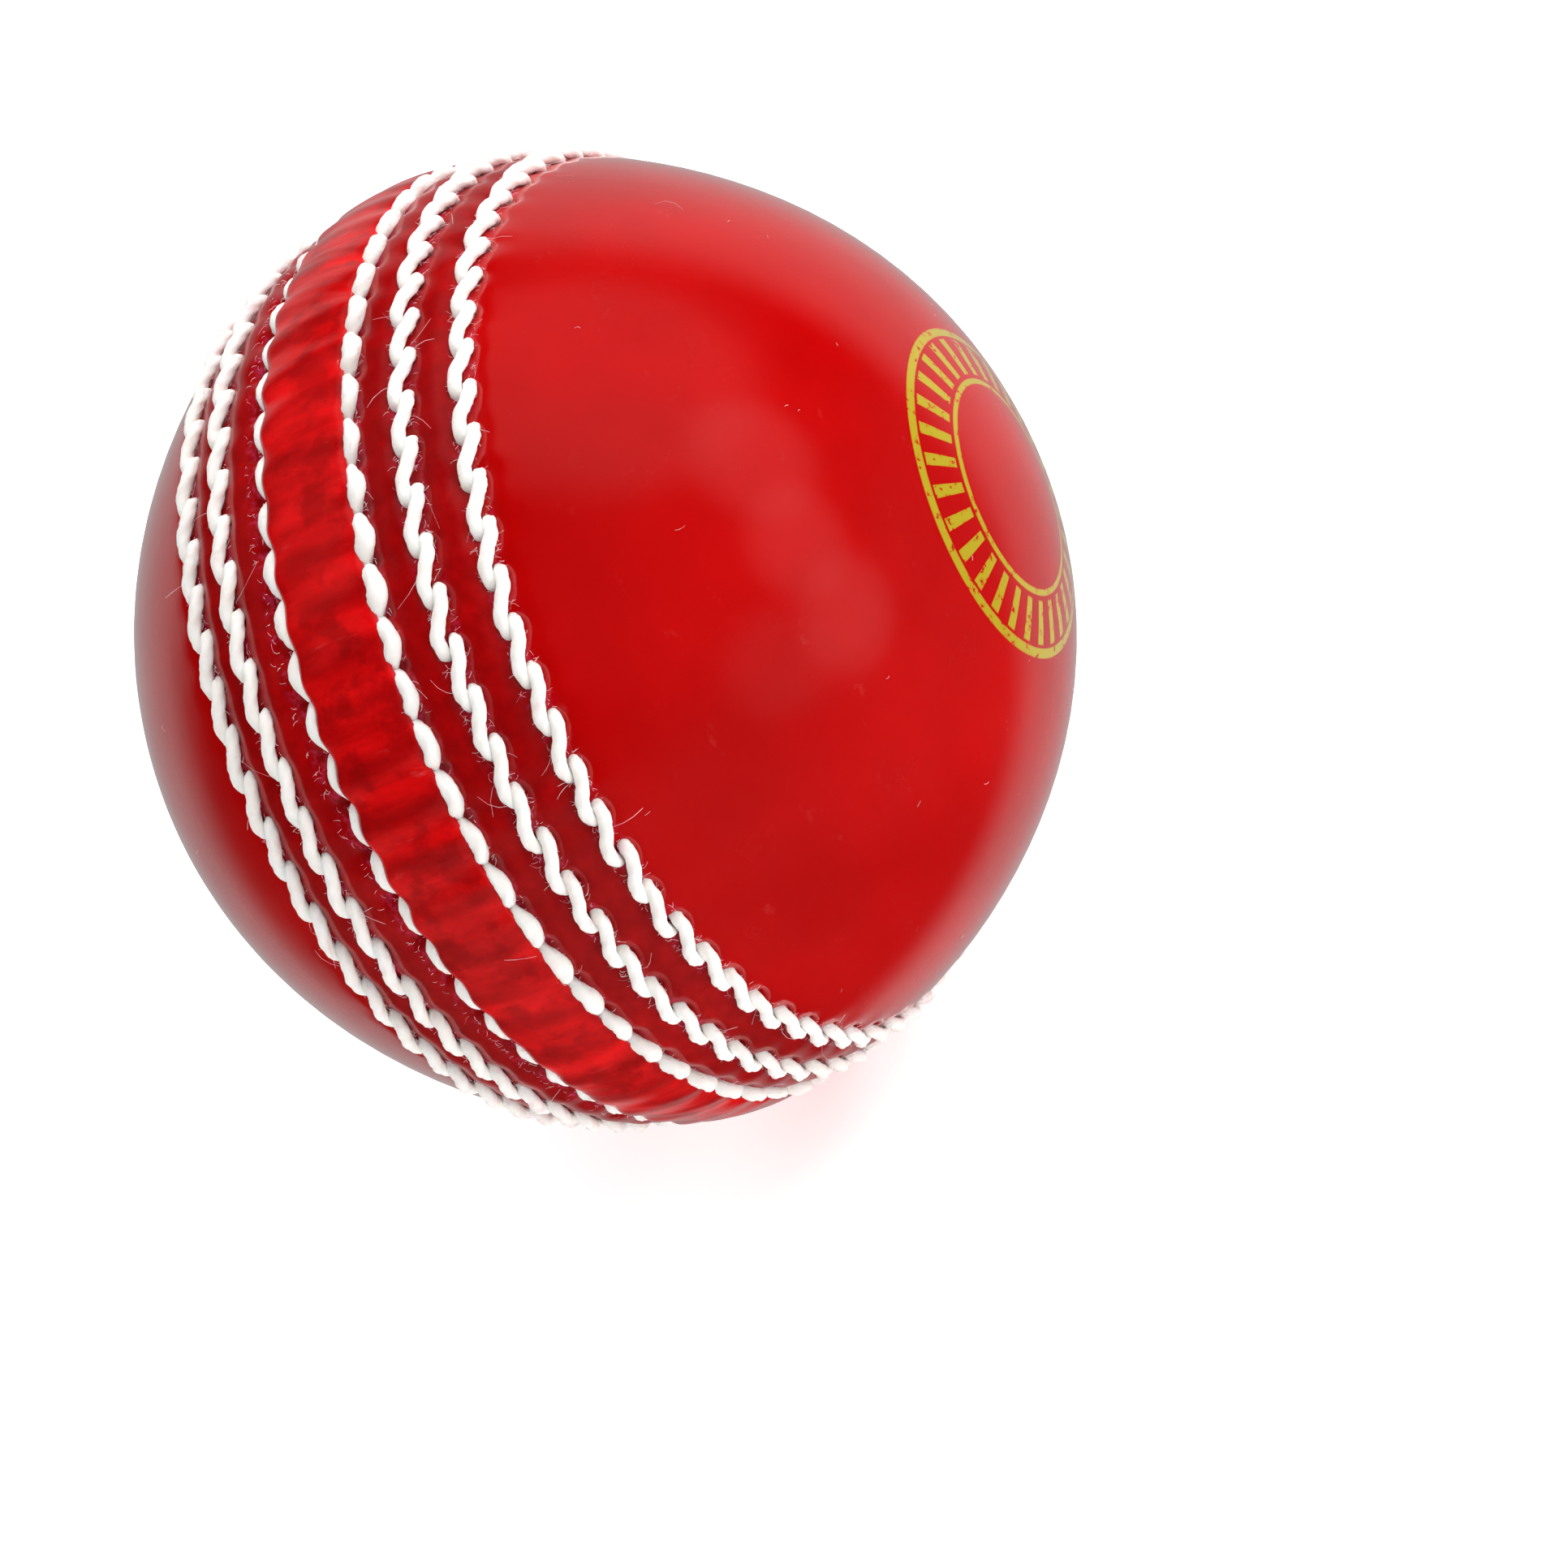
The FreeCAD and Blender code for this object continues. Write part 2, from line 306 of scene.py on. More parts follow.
# Large lights, none of them reflected: name, direction, size in metres, radiance
LIGHT_DISTANCE = 0.45
LIGHTS = (
    ("top_fill", (0.05, 0.90, 0.35), (0.60, 0.50), 2.8),
    ("front_fill", (0.25, 0.25, 0.95), (0.45, 0.45), 0.75),
    ("left_fill", (-0.85, 0.45, 0.25), (0.50, 0.50), 1.0),
    ("right_fill", (0.90, 0.35, 0.20), (0.50, 0.50), 0.9),
    ("rear_fill", (0.0, 0.45, -0.90), (0.60, 0.60), 0.75),
)

# Floor, in metres from the ball's centre
FLOOR_REACH = 3.0
FLOOR_GLOW_NEAR, NEAR_DISTANCE = 0.66, 0.12
FLOOR_GLOW_FAR, FAR_DISTANCE = 0.95, 0.50


# ---------------------------------------------------------------- shape functions

def bump(distance, half_width, power):
    return np.exp(-np.abs(distance / half_width) ** power)


def swell(latitude):
    return SEAM_SWELL * bump(latitude, SWELL_SPREAD, BELL)


def channels(latitude):
    return sum(bump(latitude - row, CHANNEL_HALF_WIDTH, CHANNEL_FLATNESS) for row in ROWS)


def channel_radius(latitude):
    """The smooth leather surface with its stitch channels, which the thread lies in."""
    return POLE_RADIUS + swell(latitude) - CHANNEL_DEPTH * channels(latitude)


class Wobble:
    """A smooth seeded wave round the ball, about -1 to 1, periodic in longitude."""

    def __init__(self, seed, highest, terms=14):
        draw = np.random.default_rng(seed)
        self.waves = draw.integers(1, highest + 1, terms)
        self.phases = draw.uniform(0, 2 * math.pi, terms)
        self.sizes = draw.uniform(0.4, 1.0, terms)
        self.sizes /= np.sqrt((self.sizes ** 2).sum() * 2)

    def __call__(self, longitude):
        angle = np.radians(np.asarray(longitude, float))[..., None]
        return (self.sizes * np.sin(self.waves * angle + self.phases)).sum(-1)


def on_ball(radius, latitude, longitude, side=1):
    """Points on the ball. The left half is the right half turned half round about X."""
    lat, lon = np.radians(latitude), np.radians(longitude)
    x = radius * np.cos(lat) * np.cos(lon)
    y = radius * np.sin(lat)
    z = -radius * np.cos(lat) * np.sin(lon)
    return np.stack(np.broadcast_arrays(x, side * y, side * z), axis=-1)


def per_stitch(seed, low, high):
    """One seeded value for each stitch of a row."""
    return np.random.default_rng(seed).uniform(low, high, STITCHES)


# ---------------------------------------------------------------- mesh helpers

def new_mesh(name, points, faces):
    """A smooth-shaded mesh object from points in millimetres."""
    mesh = bpy.data.meshes.new(name)
    mesh.from_pydata((np.asarray(points) * MM).tolist(), [], faces)
    mesh.polygons.foreach_set("use_smooth", [True] * len(mesh.polygons))
    mesh.validate()
    mesh.update()
    piece = bpy.data.objects.new(name, mesh)
    bpy.context.scene.collection.objects.link(piece)
    return piece


def face_outwards(piece):
    """Turns the faces of a closed mesh so that they all face out."""
    work = bmesh.new()
    work.from_mesh(piece.data)
    bmesh.ops.recalc_face_normals(work, faces=work.faces)
    work.to_mesh(piece.data)
    work.free()
    return piece


def grid_faces(rows, columns, first=0, close_rows=False):
    """Quads of a grid that closes on itself along its columns, and maybe its rows."""
    faces = []
    for i in range(rows if close_rows else rows - 1):
        low = first + i * columns
        high = first + ((i + 1) % rows) * columns
        for j in range(columns):
            k = (j + 1) % columns
            faces.append((low + j, low + k, high + k, high + j))
    return faces


# ---------------------------------------------------------------- leather cover halves

def relief(latitude, longitude, seed):
    """Height that stitching adds to the leather or takes from it."""
    height = -CHANNEL_DEPTH * channels(latitude)
    uneven = Wobble(seed, highest=40)(longitude)
    for number, row in enumerate(ROWS):
        across = np.radians(latitude - row) * POLE_RADIUS
        phase = (longitude / PITCH + 0.5) % 1 - 0.5
        along = np.radians(phase * PITCH) * POLE_RADIUS * np.cos(np.radians(row))
        from_hole = np.hypot(across * HOLE_STRETCH, along)
        height = height - HOLE_DEPTH * bump(from_hole, HOLE_SIZE, BELL)
        rib = np.cos(2 * math.pi * phase) * bump(across, PUCKER_HALF_WIDTH_MM, BELL)
        pucker_seed = seed + PUCKER_SEED_STEP + number
        draw = 1 + PUCKER_UNEVENNESS * Wobble(pucker_seed, highest=50)(longitude)
        height = height - PUCKER_HEIGHT * rib * draw
    puff = LANE_PUFF * (1 + PUFF_UNEVENNESS * uneven)
    for low, high in zip(ROWS, ROWS[1:]):
        from_middle = latitude - (low + high) / 2
        height = height + puff * bump(from_middle, PUFF_HALF_WIDTH, PUFF_FLATNESS)
    return height


def cover_half(half, side):
    """A cover half, with the duller leather, material 1, from its rim to the outer row.

    The duller leather covers the lining too, which comes first in the grid of rows.
    """
    columns = STITCHES * COVER_COLUMNS_A_STITCH
    fine = np.linspace(RIM_GAP, FINE_GRID_END, FINE_ROWS)
    coarse = np.linspace(FINE_GRID_END, 90.0, COARSE_ROWS)[1:-1]
    latitude = np.concatenate([fine, coarse])[:, None]
    longitude = np.linspace(0, 360, columns, endpoint=False)[None, :]
    seed = COVER_SEED + side
    outer = POLE_RADIUS + swell(latitude) + relief(latitude, longitude, seed)
    seat = bump(latitude, STRIP_EDGE - SEAT_MARGIN, SEAT_FLATNESS) * SEAT_DEPTH
    dome = bump(latitude - MOULDING_MIDDLE, MOULDING_HALF_WIDTH, BELL)
    moulding = MOULDING_HEIGHT * Wobble(seed + 1, highest=5)(longitude) * dome
    surface = on_ball(outer - seat + moulding, latitude, longitude, side)
    inner_latitude = np.linspace(RIM_GAP, 90, LINING_ROWS)[:-1][:, None]
    inner_radius = POLE_RADIUS + swell(inner_latitude) - COVER_THICKNESS
    lining = on_ball(inner_radius, inner_latitude, longitude, side)
    points = np.concatenate([lining[::-1].reshape(-1, 3), surface.reshape(-1, 3)])
    rows = lining.shape[0] + surface.shape[0]
    faces = grid_faces(rows, columns)
    pole_radii = np.array([POLE_RADIUS - COVER_THICKNESS, POLE_RADIUS])
    poles = on_ball(pole_radii, 90, 0, side)
    inner_pole, outer_pole = len(points), len(points) + 1
    last = (rows - 1) * columns
    for j in range(columns):
        k = (j + 1) % columns
        faces.append((inner_pole, k, j))
        faces.append((last + j, last + k, outer_pole))
    piece = new_mesh(f"leather_half_{half}", np.concatenate([points, poles]), faces)
    duller_rows = len(inner_latitude) + int((latitude < OUTER_ROW).sum())
    material_numbers = np.zeros(len(faces), int)
    material_numbers[:duller_rows * columns] = 1
    piece.data.polygons.foreach_set("material_index", material_numbers)
    return face_outwards(piece)


# ---------------------------------------------------------------- strip over the joint

def strip_crease(place, longitude, drift):
    """Creases across the strip, broad ones slanting one way and fine ones the other."""
    broad = Wobble(BROAD_CREASE_SEED, highest=130, terms=CREASE_TERMS)
    fine = Wobble(FINE_CREASE_SEED, highest=220, terms=CREASE_TERMS)
    crease = BROAD_CREASE * broad(longitude + BROAD_CREASE_SLANT * place + drift)
    return crease + FINE_CREASE * fine(longitude + FINE_CREASE_SLANT * place)


def seam_strip():
    """A closed band with rounded cut edges, rippled where the thread pulls it down."""
    columns = STITCHES * STRIP_COLUMNS_A_STITCH
    longitude = np.linspace(0, 360, columns, endpoint=False)
    places = np.linspace(-1, 1, STRIP_ROWS)
    ripple_size = 1 + RIPPLE_UNEVENNESS * Wobble(RIPPLE_SEED, highest=30)(longitude)
    drift = RIPPLE_DRIFT * Wobble(DRIFT_SEED, highest=9)(longitude)
    bend = STRIP_SHIFT + STRIP_WANDER * Wobble(WANDER_SEED, highest=4)(longitude)
    rows = []
    for place in places:
        slant = RIPPLE_SLANT * place
        phase = 2 * math.pi * (longitude / PITCH + 0.5 + slant) + drift
        share = RIPPLE_IN_MIDDLE + (1 - RIPPLE_IN_MIDDLE) * place ** 2
        ripple = RIPPLE_HEIGHT * ripple_size * np.cos(phase) * share
        scallop = SCALLOP * ripple_size * np.cos(phase) * place
        latitude = STRIP_EDGE * place + scallop * abs(place) + bend
        round_over = STRIP_ROUNDING * abs(place) ** STRIP_ROUNDING_FLATNESS
        crease = strip_crease(place, longitude, drift)
        radius = STRIP_CROWN - STRIP_EDGE_DROP * place ** 2 - round_over
        rows.append(on_ball(radius + ripple + crease, latitude, longitude))
    for place in places[::-STRIP_ROWS_A_LOWER_ROW]:
        latitude = (STRIP_EDGE - LOWER_FACE_MARGIN) * place + bend
        radius = STRIP_CROWN - STRIP_THICKNESS - STRIP_EDGE_DROP * place ** 2
        rows.append(on_ball(radius, latitude, longitude))
    points = np.stack(rows)
    faces = grid_faces(len(rows), columns, close_rows=True)
    return face_outwards(new_mesh("stitched_seam_strip", points.reshape(-1, 3), faces))


# ---------------------------------------------------------------- thread

def sweep(path, radius, seed):
    """A closed tube along a closed path of points, ridged like a three-ply thread."""
    count, sides = len(path), THREAD_SIDES
    ahead = np.roll(path, -1, 0) - np.roll(path, 1, 0)
    tangent = ahead / np.linalg.norm(ahead, axis=1)[:, None]
    normal = np.zeros_like(path)
    start = np.cross(tangent[0], path[0])
    normal[0] = start / np.linalg.norm(start)
    for i in range(1, count):
        carried = normal[i - 1] - tangent[i] * normal[i - 1].dot(tangent[i])
        normal[i] = carried / np.linalg.norm(carried)
    across = np.cross(tangent, normal)
    angle = np.linspace(0, 2 * math.pi, sides, endpoint=False)[None, :]
    twists = round(STITCHES * PLY_TWISTS_A_STITCH)
    turn = np.linspace(0, 2 * math.pi * twists, count, endpoint=False)[:, None]
    ply = 1 - PLY_DEPTH * (0.5 + 0.5 * np.cos(PLIES * angle - turn)) ** 2
    draw = np.random.default_rng(seed)
    ply = ply + draw.normal(0, THREAD_UNEVENNESS, (count, sides))
    size = (np.asarray(radius).reshape(-1, 1) * ply)[..., None]
    cosines, sines = np.cos(angle)[..., None], np.sin(angle)[..., None]
    ring = cosines * normal[:, None] + sines * across[:, None]
    points = (path[:, None] + size * ring).reshape(-1, 3)
    return points, grid_faces(count, sides, close_rows=True)


def join_tubes(name, tubes):
    points, faces, first = [], [], 0
    for tube_points, tube_faces in tubes:
        points.append(tube_points)
        faces += [tuple(first + i for i in face) for face in tube_faces]
        first += len(tube_points)
    return face_outwards(new_mesh(name, np.concatenate(points), faces))


def shown_stitch(row, number, seed):
    """Latitude, longitude and radius along a stitch, from one hole over to the next."""
    steps = np.linspace(0, 1, SHOWN_STEPS)
    slant = STITCH_SLANT * (1 + SLANT_SPREAD * per_stitch(seed, -1, 1)[number])
    shift = STITCH_SHIFT * per_stitch(seed + 1, -1, 1)[number]
    lift = 1 + LIFT_SPREAD * per_stitch(seed + 2, -1, 1)[number]
    span = 1 + 2 * STITCH_OVERLAP
    longitude = PITCH * (number + span * steps - STITCH_OVERLAP)
    swing = slant * np.cos(math.pi * steps ** STITCH_LEAN)
    north = swing + shift + STITCH_CURL * np.sin(2 * math.pi * steps)
    latitude = row + np.degrees(north / POLE_RADIUS)
    arch = np.sin(math.pi * steps) ** STITCH_ROUNDNESS
    top = THREAD_ABOVE_CHANNEL + STITCH_LIFT * lift
    seated = channel_radius(row) + THREAD_RADIUS * STITCH_SEAT
    radius = seated + THREAD_IN_HOLE + (top - THREAD_IN_HOLE) * arch
    return latitude, longitude, radius


def hidden_run(row, number, seed):
    """The same strand inside the cover, from the hole it went in at to the next."""
    before = shown_stitch(row, number, seed)
    after = shown_stitch(row, (number + 2) % STITCHES, seed)
    steps = np.linspace(0, 1, HIDDEN_STEPS)[1:-1]
    start = before[1][-1]
    end = PITCH * (number + 2 - STITCH_OVERLAP)
    longitude = start + (end - start) * steps
    latitude = before[0][-1] + (after[0][0] - before[0][-1]) * steps
    depth = INSIDE_DEPTH * np.sin(math.pi * steps) ** HIDDEN_ROUNDNESS
    return latitude, longitude, channel_radius(row) - depth


def row_strand(row, first, side, seed):
    """One of the two strands of a saddle-stitched row, as a closed path."""
    path = []
    for number in range(first, first + STITCHES, 2):
        for part in (shown_stitch, hidden_run):
            latitude, longitude, radius = part(row, number % STITCHES, seed)
            path.append(on_ball(radius, latitude, longitude, side))
    return np.concatenate(path)


def thread_row(row, name, half, side):
    """One saddle-stitched row, its two strands in one piece."""
    seed = ROW_SEED + int(row) * 10 + side
    tubes = [
        sweep(row_strand(row, first, side, seed), THREAD_RADIUS, seed + first)
        for first in (0, 1)
    ]
    return join_tubes(f"{name}_stitches_{half}", tubes)


def closing_strand(strand):
    """Path and radii of a strand whose plump stitches are on each rim in turn."""
    size = per_stitch(CLOSING_SEED + strand, *CLOSING_SIZES)
    level = channel_radius(INNER_ROW)
    path, radii = [], []
    for number in range(STITCHES):
        side = 1 if (number + strand) % 2 else -1
        steps = np.linspace(0, 1, CLOSING_STEPS)
        plump = np.sin(math.pi * steps) ** CLOSING_ROUNDNESS
        longitude = PITCH * (number + CLOSING_START + CLOSING_SPAN * steps)
        offset = INNER_STITCH_ARCH[side] * np.sin(math.pi * steps)
        latitude = side * (INNER_ROW_SHOWN[side] + np.degrees(offset / POLE_RADIUS))
        rise = (CLOSING_SUNK + INNER_STITCH_HEIGHT[side]) * plump
        path.append(on_ball(level - CLOSING_SUNK + rise, latitude, longitude))
        thickness = THICKNESS_AT_ENDS + (1 - THICKNESS_AT_ENDS) * plump
        radii.append(INNER_THREAD_RADIUS * size[number] * thickness)
        cross = np.linspace(0, 1, CROSSING_STEPS)[1:-1]
        latitude = side * INNER_ROW * np.cos(math.pi * cross)
        longitude = PITCH * (number + CROSSING_START + CROSSING_SPAN * cross)
        depth = CROSSING_DEPTH + CROSSING_DEPTH_STEP * strand
        path.append(on_ball(level - depth, latitude, longitude))
        radii.append(np.full(len(cross), CROSSING_THREAD_RADIUS))
    return np.concatenate(path), np.concatenate(radii)


def closing_thread(strand, name):
    """One strand of the closing thread, from rim to rim all the way round."""
    path, radii = closing_strand(strand)
    return join_tubes(name, [sweep(path, radii, strand)])


# ---------------------------------------------------------------- loose fibres

def loose_fibres():
    """Short curled hairs of linen beside the stitch rows, and a few on the domes."""
    draw = np.random.default_rng(FIBRE_SEED)
    points, faces = [], []
    sides_of_fibre = len(FIBRE_SECTION)
    for number in range(FUZZ_COUNT):
        side = draw.choice((-1, 1))
        row = draw.choice(ROWS, p=FIBRE_ROW_SHARES)
        longitude = draw.uniform(0, 360)
        across = draw.choice((-1, 1))
        latitude = row + across * draw.normal(FIBRE_OFF_ROW, FIBRE_SCATTER)
        height = draw.uniform(*FIBRE_HEIGHTS)
        if number < DUST_COUNT:
            latitude, height = draw.uniform(*DUST_LATITUDES), 0.0
        base = on_ball(channel_radius(latitude) + height, latitude, longitude, side)
        out = base / np.linalg.norm(base)
        away = np.array([0, LEAN_AWAY * across * side, 0])
        lean = draw.normal(0, LEAN_SPREAD, 3) + away
        lean -= out * lean.dot(out)
        lean /= np.linalg.norm(lean)
        curl = np.cross(out, lean)
        length = draw.uniform(*FIBRE_LENGTHS)
        if number % LONG_FIBRE_EVERY == 0:
            length *= LONG_FIBRE_STRETCH
        steps = np.linspace(0, 1, FIBRE_POINTS)[:, None]
        bend = draw.normal(0, CURL_SPREAD)
        rise = out * steps * (FIBRE_RISE - FIBRE_DROOP * steps)
        path = base + length * (rise + lean * steps + curl * bend * steps ** 2)
        ring = [FIBRE_RADIUS * (curl * a + out * b) for a, b in FIBRE_SECTION]
        points.append((path[:, None] + np.stack(ring)[None]).reshape(-1, 3))
        first = number * FIBRE_POINTS * sides_of_fibre
        last = first + sides_of_fibre * (FIBRE_POINTS - 1)
        faces += grid_faces(FIBRE_POINTS, sides_of_fibre, first)
        faces += [(first, first + 2, first + 1), (last, last + 1, last + 2)]
    return new_mesh("loose_fibres", np.concatenate(points), faces)


# ---------------------------------------------------------------- materials

class Shader:
    """A new material's node tree, with short calls for the nodes used here."""

    def __init__(self, name):
        self.material = bpy.data.materials.new(name)
        self.material.use_nodes = True
        self.nodes = self.material.node_tree.nodes
        self.links = self.material.node_tree.links
        self.surface = self.nodes["Principled BSDF"]
        self.position = self.nodes.new("ShaderNodeTexCoord").outputs["Object"]

    def feed(self, socket, value):
        if isinstance(value, bpy.types.NodeSocket):
            self.links.new(value, socket)
        else:
            socket.default_value = value

    def set(self, **values):
        for name, value in values.items():
            self.feed(self.surface.inputs[name.replace("_", " ")], value)

    def math(self, operation, first, second=0.0, clamp=False):
        node = self.nodes.new("ShaderNodeMath")
        node.operation = operation
        node.use_clamp = clamp
        self.feed(node.inputs[0], first)
        self.feed(node.inputs[1], second)
        return node.outputs[0]

    def noise(self, scale, detail=3.0, roughness=0.55, stretch=None):
        node = self.nodes.new("ShaderNodeTexNoise")
        node.inputs["Scale"].default_value = scale
        node.inputs["Detail"].default_value = detail
        node.inputs["Roughness"].default_value = roughness
        place = self.position
        if stretch:
            mapping = self.nodes.new("ShaderNodeMapping")
            mapping.inputs["Scale"].default_value = stretch
            self.links.new(place, mapping.inputs["Vector"])
            place = mapping.outputs[0]
        self.links.new(place, node.inputs["Vector"])
        return node.outputs["Fac"]

    def pores(self, scale):
        node = self.nodes.new("ShaderNodeTexVoronoi")
        node.inputs["Scale"].default_value = scale
        self.links.new(self.position, node.inputs["Vector"])
        return node.outputs["Distance"]

    def between(self, value, low, high, to_low=0.0, to_high=1.0):
        node = self.nodes.new("ShaderNodeMapRange")
        self.feed(node.inputs["Value"], value)
        for name, number in (("From Min", low), ("From Max", high),
                             ("To Min", to_low), ("To Max", to_high)):
            node.inputs[name].default_value = number
        return node.outputs[0]

    def mix(self, amount, first, second):
        node = self.nodes.new("ShaderNodeMix")
        node.data_type = "RGBA"
        self.feed(node.inputs["Factor"], amount)
        self.feed(node.inputs["A"], first)
        self.feed(node.inputs["B"], second)
        return node.outputs["Result"]

    def bump(self, height, distance, strength=1.0, under=None):
        node = self.nodes.new("ShaderNodeBump")
        node.inputs["Distance"].default_value = distance
        node.inputs["Strength"].default_value = strength
        self.feed(node.inputs["Height"], height)
        if under:
            self.links.new(under, node.inputs["Normal"])
        return node.outputs[0]

    def latitude(self):
        """Angle from the seam plane in degrees, positive towards +Y."""
        split = self.nodes.new("ShaderNodeSeparateXYZ")
        self.links.new(self.position, split.inputs[0])
        length = self.nodes.new("ShaderNodeVectorMath")
        length.operation = "LENGTH"
        self.links.new(self.position, length.inputs[0])
        ratio = self.math("DIVIDE", split.outputs["Y"], length.outputs["Value"])
        return self.math("MULTIPLY", self.math("ARCSINE", ratio), 180 / math.pi)

    def around(self, waves):
        """0 to 1 and back, so many times round the axis, 1 midway between two holes."""
        split = self.nodes.new("ShaderNodeSeparateXYZ")
        self.links.new(self.position, split.inputs[0])
        angle = self.math("ARCTAN2", split.outputs["Z"], split.outputs["X"])
        wave = self.math("COSINE", self.math("MULTIPLY", angle, waves))
        return self.between(wave, 0.6, -1.0)


def leather_surface(s, grain_strength):
    """Fine pores over small dents over slow waves, which finish a leather shader."""
    grain = s.bump(s.pores(1500), 0.00002, grain_strength)
    small = s.noise(260, detail=4, roughness=0.55)
    dents = s.bump(small, 0.00010, strength=0.45, under=grain)
    slow = s.noise(70, detail=2, roughness=0.5)
    s.set(Normal=s.bump(slow, 0.0005, strength=0.30, under=dents))


def polished_leather():
    """The faces of the ball, rubbed up to a hard gloss and marked with gold foil."""
    s = Shader("polished_red_leather")
    latitude = s.math("ABSOLUTE", s.latitude())
    mottle = s.between(s.noise(55, detail=4), 0.35, 0.68)
    colour = s.mix(mottle, *POLISHED_REDS)
    scuffed = s.noise(240, detail=6, roughness=0.7, stretch=(1, 2.2, 1))
    scuffs = s.between(scuffed, 0.64, 0.72)
    colour = s.mix(s.math("MULTIPLY", scuffs, 0.10), colour, SCUFFED_RED)
    fibres = s.between(s.noise(1700, detail=5, roughness=0.7), 0.50, 0.66)
    near_row = s.between(latitude, OUTER_ROW + 1.9, OUTER_ROW + 0.7, 0.0, 0.4)
    colour = s.mix(s.math("MULTIPLY", near_row, fibres), colour, FLUFFED_RED)
    foil = foil_mark(s, latitude)
    colour = s.mix(foil, colour, GOLD_FOIL)
    rubbed = s.between(s.noise(140, detail=5, roughness=0.6), 0.3, 0.75, 0.20, 0.30)
    s.set(Base_Color=colour, Metallic=s.math("MULTIPLY", foil, FOIL_METAL),
          Specular_IOR_Level=0.05, Roughness=rubbed,
          Coat_Weight=1.0, Coat_Roughness=0.10, Coat_IOR=LEATHER_COAT_IOR)
    leather_surface(s, 0.35)
    return s.material


def seam_leather():
    """The leather between the rows, duller and stained, with fluff along each row."""
    s = Shader("seam_red_leather")
    latitude = s.math("ABSOLUTE", s.latitude())
    streaks = s.between(s.noise(900, detail=4, roughness=0.65), 0.3, 0.75)
    colour = s.mix(streaks, *SEAM_REDS)
    stain = s.between(s.noise(90, detail=3, roughness=0.6), 0.40, 0.62, 0.0, 0.5)
    colour = s.mix(stain, colour, SEAM_STAIN)
    close = None
    for row in ROWS:
        away = s.math("ABSOLUTE", s.math("SUBTRACT", latitude, row))
        here = s.between(away, 1.9, 0.7)
        close = here if close is None else s.math("MAXIMUM", close, here)
    rub = s.between(s.noise(1700, detail=5, roughness=0.7), 0.50, 0.66)
    fluff = s.math("MULTIPLY", close, rub, clamp=True)
    colour = s.mix(s.math("MULTIPLY", fluff, 0.5), colour, FLUFFED_RED)
    worn = s.between(s.noise(300, detail=5, roughness=0.6), 0.3, 0.75, 0.30, 0.45)
    s.set(Base_Color=colour, Specular_IOR_Level=0.04, Roughness=worn,
          Coat_Weight=0.6, Coat_Roughness=0.16, Coat_IOR=LEATHER_COAT_IOR)
    leather_surface(s, 0.6)
    return s.material


def foil_mark(s, latitude):
    """A mask of a plain gold ring of rays round each pole, worn through in places."""
    from_pole = s.math("SUBTRACT", 90.0, latitude)
    mark = None
    rings = (FOIL_INNER, FOIL_INNER_HALF_WIDTH), (FOIL_OUTER, FOIL_OUTER_HALF_WIDTH)
    for radius, half_width in rings:
        away = s.math("ABSOLUTE", s.math("SUBTRACT", from_pole, radius))
        ring = s.between(away, half_width + FOIL_EDGE, half_width - FOIL_EDGE)
        mark = ring if mark is None else s.math("MAXIMUM", mark, ring)
    band_middle = (FOIL_INNER + FOIL_OUTER) / 2
    band_half = (FOIL_OUTER - FOIL_INNER) / 2
    away = s.math("ABSOLUTE", s.math("SUBTRACT", from_pole, band_middle))
    inside = s.between(away, band_half - RAY_END_START, band_half - RAY_END_FINISH)
    rays = s.between(s.around(FOIL_RAYS), 0.20, 0.12)
    mark = s.math("MAXIMUM", mark, s.math("MULTIPLY", inside, rays))
    worn = s.between(s.noise(1300, detail=5, roughness=0.7), 0.62, 0.56)
    return s.math("MULTIPLY", mark, worn, clamp=True)


def strip_leather():
    """Leather streaked across the strip, with painted shade in patches of its ripples and
    a cut edge lightened partly by a painted highlight.
    """
    s = Shader("rippled_strip_leather")
    from_middle = s.math("ABSOLUTE", s.math("SUBTRACT", s.latitude(), STRIP_SHIFT))
    streaked = s.noise(520, detail=6, roughness=0.65, stretch=(1, 0.22, 1))
    streaks = s.between(streaked, 0.36, 0.66)
    colour = s.mix(streaks, *STRIP_REDS)
    # Painted shade: darker patches midway between the holes stand for the shade in the
    # strip's ripples
    patchy = s.between(s.noise(160, detail=3), 0.38, 0.60)
    shade = s.math("MULTIPLY", s.around(STITCHES), patchy)
    colour = s.mix(s.math("MULTIPLY", shade, 0.5), colour, STRIP_PAINTED_RIPPLE_SHADE)
    blotch = s.between(s.noise(300, detail=4, roughness=0.6), 0.50, 0.60, 0.0, 0.48)
    colour = s.mix(blotch, colour, STRIP_BLOTCH)
    scratched = s.noise(900, detail=6, roughness=0.7, stretch=(1, 0.12, 1))
    scratch = s.between(scratched, 0.63, 0.74)
    colour = s.mix(s.math("MULTIPLY", scratch, 0.35), colour, STRIP_SCRATCH)
    # The lighter cut edge is partly the raw cut and partly a painted highlight along the
    # rounded edge
    cut_edge_and_highlight = s.between(from_middle, STRIP_EDGE - 0.15, STRIP_EDGE)
    colour = s.mix(s.math("MULTIPLY", cut_edge_and_highlight, 0.45), colour, STRIP_CUT_EDGE_AND_HIGHLIGHT)
    worn = s.between(s.noise(260, detail=4), 0.3, 0.7, 0.22, 0.36)
    s.set(Base_Color=colour, Roughness=worn, Specular_IOR_Level=0.04,
          Coat_Weight=0.7, Coat_Roughness=0.18, Coat_IOR=LEATHER_COAT_IOR)
    folded = s.noise(620, detail=5, roughness=0.6, stretch=(1, 0.3, 1))
    creases = s.bump(folded, 0.00012, strength=0.6)
    s.set(Normal=s.bump(s.pores(1400), 0.00003, strength=0.4, under=creases))
    return s.material


